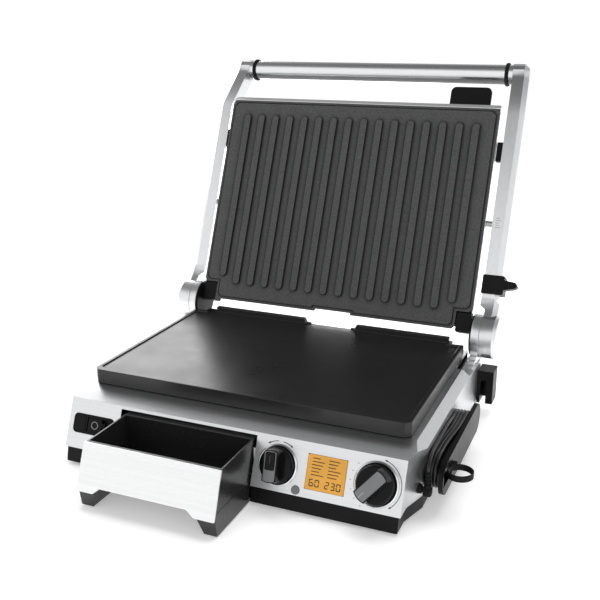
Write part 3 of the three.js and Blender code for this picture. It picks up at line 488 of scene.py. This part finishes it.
# from the last bend to the stem of the probe, seen from the stem
STEM_STEPS = [(-2.3, -10, 2.3), (-0.4, -5.5, 0.9), (0.3, -2, 0.1), (0.3, 0, 0)]
STEM_REACH = 5.5  # the stem starts this far before the spike
LAST_BEND = 7.4
LAST_BEND_RISE = -4.5  # where the bend starts, against the stem's height
LAST_BEND_DRIFT = 0.1

UPPER_STEPS = 8
LOWER_STEPS = 4
KNOT_GAP = 8  # least distance between two knots of the first upper run
LANE_CHANGE = (0.2, 0.75)  # shares of an upper run
HUMP_FALL = (0.5, 0.95)


def eased(value, start, stop):
    """0 before start, 1 after stop and a smooth rise between them."""
    t = min(1.0, max(0.0, (value - start) / (stop - start)))
    return t * t * (3 - 2 * t)


def half_turn(x, y, z, radius, start, steps=4):
    """Points of a half circle in the (y, z) plane, without its last one."""
    angles = [start + math.pi * i / steps for i in range(steps)]
    return [Vector((x, y + radius * math.sin(a), z + radius * math.cos(a))) for a in angles]


def cord_end(lane, nose_y, socket):
    """From the front of the winding through the opening in the spool's plate into the probe's stem."""
    points = []
    for i in range(4):
        angle = math.radians(30 * i)
        y = nose_y + LAST_BEND * (1 - math.cos(angle))
        z = socket.z + LAST_BEND_RISE + LAST_BEND * math.sin(angle)
        points.append(Vector((lane + LAST_BEND_DRIFT * i * i, y, z)))
    return points + [socket + Vector(step) for step in STEM_STEPS]


def first_run(lane, front, rear, top, lead_end):
    """Over the spool to its rear, from where the lead ends, which is a little higher."""
    points = []
    last_y = lead_end.y
    for step in range(UPPER_STEPS):
        share = step / UPPER_STEPS
        y = front + (rear - front) * share
        if y < last_y + KNOT_GAP:
            continue
        lift = (lead_end.z - top) * (1 - eased(share, *HUMP_FALL))
        points.append(Vector((lane, y, top + lift)))
        last_y = y
    return points


def next_run(lane, pitch, front, rear, top):
    """Over the spool to its rear, changing over from the lane before."""
    points = []
    for step in range(UPPER_STEPS):
        share = step / UPPER_STEPS
        x = lane - pitch * (1 - eased(share, *LANE_CHANGE))
        points.append(Vector((x, front + (rear - front) * share, top)))
    return points


def cord_points():
    """From the connector over the spool, four turns round it, then out to the probe's handle."""
    low, high = (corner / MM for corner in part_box("probe_cord_hank"))
    lead_low, lead_high = (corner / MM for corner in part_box("probe_cord_lead"))
    half = CORD_DIAMETER / 2
    inset = half + CORD_GAP
    radius = (high.z - low.z) / 2 - inset
    mid_z = (high.z + low.z) / 2
    front, rear = low.y + inset + radius, high.y - inset - radius
    pitch = (high.x - low.x - CORD_DIAMETER) / (CORD_TURNS - 1)
    lanes = [low.x + half + pitch * i for i in range(CORD_TURNS)]
    start = Vector((lead_high.x - half, lead_low.y + half, lead_low.z))
    points = [start + Vector(step) for step in LEAD_STEPS]
    points += first_run(lanes[0], front, rear, mid_z + radius, points[-1])
    for lane in lanes:
        if lane != lanes[0]:
            points += half_turn(lane - pitch, front, mid_z, radius, math.pi)
            points += next_run(lane, pitch, front, rear, mid_z + radius)
        points += half_turn(lane, rear, mid_z, radius, 0)
        ways = [rear + (front - rear) * step / LOWER_STEPS for step in range(LOWER_STEPS)]
        points += [Vector((lane, y, mid_z - radius)) for y in ways]
    lower_front = half_turn(lanes[-1], front, mid_z, radius, math.pi, 6)[:3]
    points += lower_front
    spike = middle("probe_spike") / MM
    socket = Vector((spike.x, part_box("probe_spike")[0].y / MM - STEM_REACH, spike.z))
    return points + cord_end(lanes[-1], front - radius, socket)


def make_cord():
    curve = bpy.data.curves.new("probe_cord", "CURVE")
    curve.dimensions = "3D"
    curve.bevel_depth = CORD_DIAMETER / 2 * MM
    curve.bevel_resolution = 5
    curve.resolution_u = 6
    curve.use_fill_caps = True
    points = cord_points()
    spline = curve.splines.new("BEZIER")
    spline.bezier_points.add(len(points) - 1)
    for knot, point in zip(spline.bezier_points, points):
        knot.co = point * MM
        knot.handle_left_type = knot.handle_right_type = "AUTO"
    curve.materials.append(MATERIALS["cord_skin"])
    cord = bpy.data.objects.new("probe_cord", curve)
    bpy.context.scene.collection.objects.link(cord)
    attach(cord, "base")
    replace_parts(cord, "probe_cord_lead", "probe_cord_hank")


# ---------- CAD nodes: finish and rounded edges ----------
EDGE_WIDTHS = {  # millimetres
    "base_housing": 0.9, "base_pan": 1.2, "lid_housing": 1.4, "lid_plate": 1.1, "lower_plate": 1.2,
    "arm_left": 1.0, "arm_right": 1.0, "hinge_bracket_left": 1.0, "hinge_bracket_right": 1.0,
    "drip_tray": 1.2, "drip_tray_front": 0.5, "height_clip": 1.0,
    "cord_hook_left": 1.2, "cord_hook_right": 1.2,
    "corner_block_left": 1.2, "corner_block_right": 1.2, "side_bumper_left": 0.8, "side_bumper_right": 0.8,
    "lid_release_lever": 0.9, "probe_handle": 0.7, "probe_spool": 0.6, "probe_connector": 0.3,
    "release_slider": 0.6, "release_escutcheon": 0.4, "release_label_pad": 0.3, "round_button": 0.5,
    "display_window": 0.3, "food_dial_button": 0.4, "lid_element": 0, "lower_element": 0, "release_spring": 0,
    "probe_spike": 0, "hinge_inner_cover_left": 0.8, "hinge_inner_cover_right": 0.8,
}
DEFAULT_EDGE = 0.4
WIDE_EDGE = 0.8  # edges wider than this are rounded in three steps
OWN_FINISH = {"drip_tray": "tray_plastic"}


def finish_nodes():
    slots = {part["node"]: part["material_slot"] for part in frame["record"]["subparts"]}
    for name, node in NODES.items():
        width = EDGE_WIDTHS.get(name, DEFAULT_EDGE)
        node.data.materials.clear()
        node.data.materials.append(MATERIALS[OWN_FINISH.get(name, slots[name])])
        soften(node, width, 3 if width > WIDE_EDGE else 2)


# ---------- lid details ----------
# from here on, lengths without a unit are millimetres
TUBE_WALL = 2.0
TUBE_CHAMFER = 0.5
TUBE_FACETS = 128
SEAL_GAP = 0.1  # between the tube and a seal's inner side
SEAL_STEPS = 16


def make_handle():
    low, high = LID.extent("handle_tube")
    radius = (high.y - low.y) / 2
    axis = LID.moved(0, (low.y + high.y) / 2, (low.z + high.z) / 2)
    left, right = low.x, high.x
    inner, lip = radius - TUBE_WALL, radius - TUBE_CHAMFER
    profile = [
        (inner, left), (lip, left), (radius, left + TUBE_CHAMFER),
        (radius, right - TUBE_CHAMFER), (lip, right), (inner, right),
    ]
    mesh = turned("handle_grip", profile, TUBE_FACETS, 0)
    tube = make_piece("handle_grip", mesh, "lid_arms", "grip_steel", axis)
    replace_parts(soften(tube, 0), "handle_tube")
    for side in ("left", "right"):
        make_seal(side, axis, radius + SEAL_GAP)


def make_seal(side, axis, inner):
    """A round rubber ring on the handle tube."""
    low, high = LID.extent(f"handle_ring_{side}")
    centre = (low.x + high.x) / 2
    thick = (high.x - low.x) / 2
    outer = (high.y - low.y) / 2
    section = []
    for i in range(SEAL_STEPS):
        angle = 2 * math.pi * i / SEAL_STEPS
        r = (inner + outer) / 2 + (outer - inner) / 2 * math.cos(angle)
        section.append((r, centre + thick * math.sin(angle)))
    ring = turned(f"handle_seal_{side}", section, axis=0)
    piece = make_piece(f"handle_seal_{side}", ring, "lid_arms", "rubber", axis)
    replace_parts(soften(piece, 0), f"handle_ring_{side}")


# ---------- control panel details ----------
# each step: how far in from the rim, and how high above the dial's foot
DIAL_SKIRT = [(0.4, 0), (0, 0.4), (0, 2.6), (0.3, 3.2), (1.3, 5.0), (1.9, 5.6), (2.8, 6.0)]
DIAL_TOP = 6.1
KNOB_EDGE = 0.9
BAR_HALF = 8.0
BAR_INSET = 1.2
BAR_FOOT = 5
BAR_TOP = 0.5  # below the dial's highest point
BAR_TAPER = 0.9
FACE_INSET = 3.0
FACE_NARROWER = 1.7
FACE_SPAN = (0.9, 0.1)  # below the dial's highest point
FACE_TAPER = 0.2
FACE_EDGE = 0.25
POCKET = (-5.2, 5.2, -3.7, 14.2)  # the food dial's face leaves this free for its button
POCKET_CORNER = 1.8
MARK_HALF = 0.55
MARK_CORNER = 0.5
MARK_DEPTH = 0.5
BUTTON_MARK = (3, 11)  # start and end, from the dial's middle
BUTTON_RISE = 0.75  # the button's top over the dial's highest point
DIAL_MARK_START = 8.5  # from the dial's middle
DIAL_MARK_END = 4.0  # from the rim
FOOD_DIAL_AT = math.radians(3)
TEMP_DIAL_AT = math.radians(140)


def dial_profile(radius, low):
    steps = [(radius - inset, low + height) for inset, height in DIAL_SKIRT]
    return [(0, low)] + steps + [(0, low + DIAL_TOP)]


def bar_outline(radius, half, steps=8):
    """Straight sides and round ends that follow the dial."""
    lean = math.asin(half / radius)
    points = []
    for centre in (math.pi / 2, -math.pi / 2):
        for i in range(steps + 1):
            angle = centre - lean + 2 * lean * i / steps
            points.append((radius * math.cos(angle), radius * math.sin(angle)))
    return points


def make_dial(name, joint, turn, button=None):
    """A dial that rides on the body of its own name, and its mark, which rides on a button if it has one."""
    axis = panel_place(joint).moved(0, 0, 0, turn)
    low, high = axis.extent(name)
    radius = max(high.x, high.y)
    skirt = turned(f"{name}_skirt", dial_profile(radius, low.z))
    outline = bar_outline(radius - BAR_INSET, BAR_HALF)
    bar = prism(f"{name}_bar", outline, low.z + BAR_FOOT, high.z - BAR_TOP, BAR_TAPER)
    knob = make_piece(f"{name}_knob", merged(name, [skirt, bar]), name, "gloss_black", axis)
    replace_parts(soften(knob, KNOB_EDGE, 3), name)
    face = dial_face(name, radius, high.z, button)
    soften(make_piece(f"{name}_face", face, name, "dial_face", axis), FACE_EDGE)
    start, stop = BUTTON_MARK if button else (DIAL_MARK_START, radius - DIAL_MARK_END)
    top = high.z + (BUTTON_RISE if button else 0.0)
    outline = rounded(-MARK_HALF, MARK_HALF, start, stop, MARK_CORNER)
    mark = prism(f"{name}_mark", outline, top - MARK_DEPTH, top)
    material = "print_black" if button else "print_grey"
    soften(make_piece(f"{name}_mark", mark, button or name, material, axis), 0)


def dial_face(name, radius, top, pocket):
    """The grey plate on the bar. A pocket leaves room for a button."""
    outline = bar_outline(radius - FACE_INSET, BAR_HALF - FACE_NARROWER)
    low, high = (top - depth for depth in FACE_SPAN)
    if pocket:
        return framed(f"{name}_face", outline, rounded(*POCKET, POCKET_CORNER), low, high)
    return prism(f"{name}_face", outline, low, high, FACE_TAPER)


FRAME_STEPS = 96


def framed(name, outer, inner, low, high):
    """A plate with a hole: both outlines are resampled by angle about the hole's middle."""
    steps = FRAME_STEPS
    centre = [sum(p[k] for p in inner) / len(inner) for k in (0, 1)]
    rings = [ray_ring(outline, centre, steps) for outline in (outer, inner)]
    points = [(a, b, h) for h in (low, high) for ring in rings for a, b in ring]
    faces = []
    for i in range(steps):
        n = (i + 1) % steps
        faces.append((i, n, steps + n, steps + i))
        faces.append((2 * steps + i, 3 * steps + i, 3 * steps + n, 2 * steps + n))
        faces.append((i, 2 * steps + i, 2 * steps + n, n))
        faces.append((steps + i, steps + n, 3 * steps + n, 3 * steps + i))
    return cleaned(mesh_from(name, points, faces))


def ray_ring(outline, centre, steps):
    """Where rays from a centre meet an outline."""
    ring = []
    for i in range(steps):
        angle = 2 * math.pi * (i + 0.5) / steps
        ray = (math.cos(angle), math.sin(angle))
        best = None
        for p, q in zip(outline, outline[1:] + outline[:1]):
            ex, ey = q[0] - p[0], q[1] - p[1]
            cross = ray[0] * ey - ray[1] * ex
            if abs(cross) < ALMOST_NOTHING:
                continue
            dx, dy = p[0] - centre[0], p[1] - centre[1]
            reach = (dx * ey - dy * ex) / cross
            share = (dx * ray[1] - dy * ray[0]) / cross
            if reach > 0 and -ALMOST_NOTHING <= share <= 1 + ALMOST_NOTHING:
                best = reach if best is None else max(best, reach)
        ring.append((centre[0] + ray[0] * best, centre[1] + ray[1] * best))
    return ring


BEZEL_WIDTH = 3.8
# each step: how far in from the rim, and how high above the ring's foot or below its top
BEZEL_RISE = [(BEZEL_WIDTH, 0), (0, 0), (0, 0.7), (0.5, 1.4)]
BEZEL_FALL = [(1.4, 0), (2.6, 0.3), (BEZEL_WIDTH, 1.0)]


def make_bezel(side, joint):
    axis = panel_place(joint)
    low, high = axis.extent(f"bezel_ring_{side}")
    profile = [(high.x - inset, low.z + height) for inset, height in BEZEL_RISE]
    profile += [(high.x - inset, high.z - drop) for inset, drop in BEZEL_FALL]
    mesh = turned(f"bezel_{side}", profile)
    ring = make_piece(f"bezel_{side}", mesh, "base", "bright_steel", axis)
    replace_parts(soften(ring, 0), f"bezel_ring_{side}")


PRINT = 0.06  # printed marks stand this proud of their surface


def printed(name, outlines):
    """A thin print of several outlines."""
    return merged(name, [prism(f"{name}_{i}", outline, 0, PRINT) for i, outline in enumerate(outlines)])


def print_on_panel(name, outlines, place, material="print_black"):
    return make_piece(name, printed(name, outlines), "base", material, place)


# angles in degrees: a stripe's start and stop, its arrow's foot and the way it points
FOOD_ARROWS = [(62, 84, 62, -1), (96, 118, 118, 1)]
FOOD_ARROW_GAP = 2.6
FOOD_ARROW_WIDTH = 0.8
FOOD_ARROW_SIZE = 2.2
TEMP_SWEEP = (-48, 72)
TEMP_SWEEP_GAP = 2.4
TEMP_SWEEP_WIDTH = 0.7
TEMP_ARROW_SIZE = 2
TEMP_TICKS = range(140, 250, 20)
TICK_OUTWARDS = 1.3
TICK_LENGTH = 1.6
TICK_HALF_ANGLE = 0.5


def panel_prints():
    """Arrows and ticks round the two dials. No lettering."""
    ring = PANEL.extent("bezel_ring_left")[1].x + FOOD_ARROW_GAP
    arrows = []
    for start, stop, tip, way in FOOD_ARROWS:
        arrows.append(arc_band(ring, FOOD_ARROW_WIDTH, start, stop))
        arrows.append(arrow_head(ring, tip, FOOD_ARROW_SIZE, way))
    print_on_panel("food_dial_arrows", arrows, PANEL)
    temp = panel_place("temp_dial_turn")
    ring = temp.extent("bezel_ring_right")[1].x + TEMP_SWEEP_GAP
    start, stop = TEMP_SWEEP
    marks = [
        arc_band(ring, TEMP_SWEEP_WIDTH, start, stop, 48),
        arrow_head(ring, stop, TEMP_ARROW_SIZE, 1),
        arrow_head(ring, start, TEMP_ARROW_SIZE, -1),
    ]
    for angle in TEMP_TICKS:
        span = (angle - TICK_HALF_ANGLE, angle + TICK_HALF_ANGLE)
        marks.append(arc_band(ring + TICK_OUTWARDS, TICK_LENGTH, *span, 2))
    print_on_panel("temp_dial_scale", marks, temp)


SEGMENTS = {
    "0": "abcdef", "2": "abged", "3": "abgcd", "6": "afgedc",
}
STROKE = 0.21  # of a digit's width
STROKE_CORNER = 0.06  # of a digit's width


def digit_outlines(digit, a, b, width, height):
    """Seven-segment strokes of one digit, its lower left corner at (a, b)."""
    t = STROKE * width
    half = height / 2
    across = (a + t, a + width - t)
    left, right = (a, a + t), (a + width - t, a + width)
    lower = (b + t / 3, b + half - t / 3)
    upper = (b + half + t / 3, b + height - t / 3)
    strokes = {
        "a": (*across, b + height - t, b + height),
        "b": (*right, *upper),
        "c": (*right, *lower),
        "d": (*across, b, b + t),
        "e": (*left, *lower),
        "f": (*left, *upper),
        "g": (*across, b + half - t / 2, b + half + t / 2),
    }
    return [rounded(*strokes[s], STROKE_CORNER * width, 2) for s in SEGMENTS[digit]]


# starts and lengths along the display are shares of its width
READINGS = {"60": 0.1, "230": 0.5}
DIGIT_WIDTH = 0.115
DIGIT_PITCH = 1.28  # of a digit's width
DIGIT_HEIGHT = 7.4
DIGIT_LEVEL = 3.2
PRINT_GAP = 0.02
ROWS = 6
ROW_PITCH = 3.3
FIRST_ROW = 4.0
COLUMNS = (0.12, 0.54)
BAR_LENGTHS = (0.2, 0.24, 0.28, 0.32)
BAR_HEIGHT = 0.85
BAR_CORNER = 0.3


def display_details():
    """Two readings, and plain bars where the display shows words."""
    low, high = PANEL.extent("display_window")
    width = high.x - low.x
    size = width * DIGIT_WIDTH
    outlines = []
    for text, share in READINGS.items():
        for i, digit in enumerate(text):
            start = low.x + width * share + i * size * DIGIT_PITCH
            outlines += digit_outlines(digit, start, low.y + DIGIT_LEVEL, size, DIGIT_HEIGHT)
    for row in range(ROWS):
        level = high.y - FIRST_ROW - row * ROW_PITCH
        for column, share in enumerate(COLUMNS):
            start = low.x + width * share
            length = width * BAR_LENGTHS[(row * 3 + column * 2) % len(BAR_LENGTHS)]
            outlines.append(rounded(start, start + length, level, level + BAR_HEIGHT, BAR_CORNER, 2))
    face = PANEL.moved(0, 0, high.z + PRINT_GAP)
    print_on_panel("display_digits", outlines, face, "digit_dark")


ICON_RADII = (3.6, 4.3)
ICON_HEIGHT = 0.25


def release_details():
    """A ring printed on the release slider."""
    low, high = PANEL.extent("release_slider")
    centre = PANEL.moved((low.x + high.x) / 2, (low.y + high.y) / 2, high.z)
    inner, outer = ICON_RADII
    icon = turned("slider_ring", [(inner, 0), (outer, 0), (outer, ICON_HEIGHT), (inner, ICON_HEIGHT)], 48)
    soften(make_piece("slider_ring", icon, "plate_release", "print_grey", centre), 0)


# ---------- arm markings ----------
ARM_FACE = 4.98  # the arm's front face stands this far before the hinge axis
SCALE_START = 10.5  # from the arm's lowest x
SCALE_STOPS = (17, 15, 15)  # every third tick is longer
SCALE_PITCH = 3
SCALE_TICKS = 5
SCALE_TICK = 0.7  # a tick's height
SCALE_CORNER = 0.3


def arm_scale():
    """Short printed ticks on the right arm, beside the pivot."""
    edge = LID.extent("arm_right")[0].x
    pin = LID.extent("pivot_pin_right")
    first = (pin[0].y + pin[1].y) / 2 - SCALE_PITCH * (SCALE_TICKS - 1) / 2
    face = Place(LID.point(0, 0, ARM_FACE), X, LID_UP, -LID_DEPTH)
    ticks = []
    for i in range(SCALE_TICKS):
        stop = SCALE_STOPS[i % len(SCALE_STOPS)]
        level = first + SCALE_PITCH * i
        ticks.append(rounded(edge + SCALE_START, edge + stop, level, level + SCALE_TICK, SCALE_CORNER, 2))
    make_piece("arm_scale", printed("arm_scale", ticks), "lid_arms", "print_grey", face)


# ---------- floor and light ----------
# this section is in metres, and watts for the lights
FLOOR_HALF = 9.0
# painted shade on the floor: share of its colour left in the foreground
FLOOR_PAINTED_SHADE = 0.6
FLOOR_FADE = (-1.2, -0.42)  # painted shade along the camera's heading: the floor's colour is darker before the first, clear after the second; the metals mirror it
FLOOR_GLOW = (0.32, 0.6)
GLOW_REACH = (0.4, 1.9)  # distances from the middle between which the glow grows
TOP_LIGHT = 30
BEHIND_LIGHT = 8
LEFT_LIGHT = 11
WALL_TURN = (-0.25, 0.25)  # the heading's y between which the front wall turns into the back wall
STUDIO_STRENGTH = 1.05

# brightness of the studio against the sine of the height angle
FRONT_WALL = [(0.0, 1.0), (0.6, 1.0), (0.78, 0.24), (1.0, 0.12)]
BACK_WALL = [(0.0, 1.0), (0.1, 1.0), (0.32, 0.75), (0.6, 0.45), (1.0, 0.12)]


def make_stage():
    """A plain pale floor with painted shade in the foreground, which the metals mirror, and a glow that hides its
    far edge.
    """
    half = FLOOR_HALF
    corners = [(-half, -half, 0), (half, -half, 0), (half, half, 0), (-half, half, 0)]
    mesh = mesh_from("floor", corners, [(0, 1, 2, 3)])
    finish = Finish("floor", (0.9, 0.9, 0.9), 0.9)
    finish.shader.inputs["Emission Color"].default_value = (1, 1, 1, 1)
    ahead = finish.node("ShaderNodeVectorMath", operation="DOT_PRODUCT")
    ahead.inputs[1].default_value = (-math.sin(CAMERA_AZIMUTH), math.cos(CAMERA_AZIMUTH), 0)
    finish.link(finish.place, ahead.inputs[0])
    away = finish.node("ShaderNodeVectorMath", operation="LENGTH")
    finish.link(finish.place, away.inputs[0])
    finish.tint(ahead.outputs["Value"], FLOOR_PAINTED_SHADE, 1.0, *FLOOR_FADE)
    glow = finish.spread(away.outputs["Value"], *FLOOR_GLOW, *GLOW_REACH)
    finish.link(glow, finish.shader.inputs["Emission Strength"])
    mesh.materials.append(finish.material)
    floor = bpy.data.objects.new("floor", mesh)
    bpy.context.scene.collection.objects.link(floor)


def area_light(name, place, target, size, power, mirrored=True):
    """A softbox that the camera itself does not see."""
    data = bpy.data.lights.new(name, "AREA")
    data.shape = "RECTANGLE"
    data.size, data.size_y = size
    data.energy = power
    light = bpy.data.objects.new(name, data)
    light.location = place
    light.rotation_euler = (Vector(target) - Vector(place)).to_track_quat("-Z", "Y").to_euler()
    light.visible_glossy = mirrored
    light.visible_camera = False
    bpy.context.scene.collection.objects.link(light)


def make_world():
    """A studio: a bright wall before the object, a dim ceiling and a wall behind it that fades upwards."""
    world = bpy.data.worlds.new("studio")
    bpy.context.scene.world = world
    world.use_nodes = True
    tree = world.node_tree
    way = tree.nodes.new("ShaderNodeSeparateXYZ")
    tree.links.new(tree.nodes.new("ShaderNodeTexCoord").outputs["Generated"], way.inputs["Vector"])
    sides = []
    for stops in (FRONT_WALL, BACK_WALL):
        ramp = tree.nodes.new("ShaderNodeValToRGB")
        for place, level in stops[1:-1]:
            ramp.color_ramp.elements.new(place)
        for element, (place, level) in zip(ramp.color_ramp.elements, stops):
            element.position = place
            element.color = (level, level, level, 1)
        tree.links.new(way.outputs["Z"], ramp.inputs["Fac"])
        sides.append(ramp.outputs["Color"])
    turn = tree.nodes.new("ShaderNodeMapRange")
    turn.inputs["From Min"].default_value = WALL_TURN[0]
    turn.inputs["From Max"].default_value = WALL_TURN[1]
    tree.links.new(way.outputs["Y"], turn.inputs["Value"])
    mix = tree.nodes.new("ShaderNodeMixRGB")
    tree.links.new(turn.outputs["Result"], mix.inputs["Fac"])
    tree.links.new(sides[0], mix.inputs["Color1"])
    tree.links.new(sides[1], mix.inputs["Color2"])
    background = tree.nodes["Background"]
    tree.links.new(mix.outputs["Color"], background.inputs["Color"])
    background.inputs["Strength"].default_value = STUDIO_STRENGTH


def make_lights():
    area_light("top", (0.1, 0.4, 2.0), (0, 0, 0.1), (1.8, 1.4), TOP_LIGHT, mirrored=False)
    area_light("behind", (-0.4, 1.1, 0.16), (0, 0.1, 0.1), (0.6, 0.25), BEHIND_LIGHT)
    area_light("left_behind", (-1.3, 1.0, 0.8), (-0.1, 0, 0.08), (1.3, 0.8), LEFT_LIGHT)
    make_world()


MATERIALS = make_materials()
make_camera()
make_cord()
finish_nodes()
make_handle()
make_dial("food_dial", "food_dial_turn", FOOD_DIAL_AT, "food_button")
make_dial("temp_dial", "temp_dial_turn", TEMP_DIAL_AT)
make_bezel("left", "food_dial_turn")
make_bezel("right", "temp_dial_turn")
panel_prints()
display_details()
release_details()
arm_scale()
make_stage()
make_lights()
bpy.context.scene.view_settings.view_transform = "Standard"
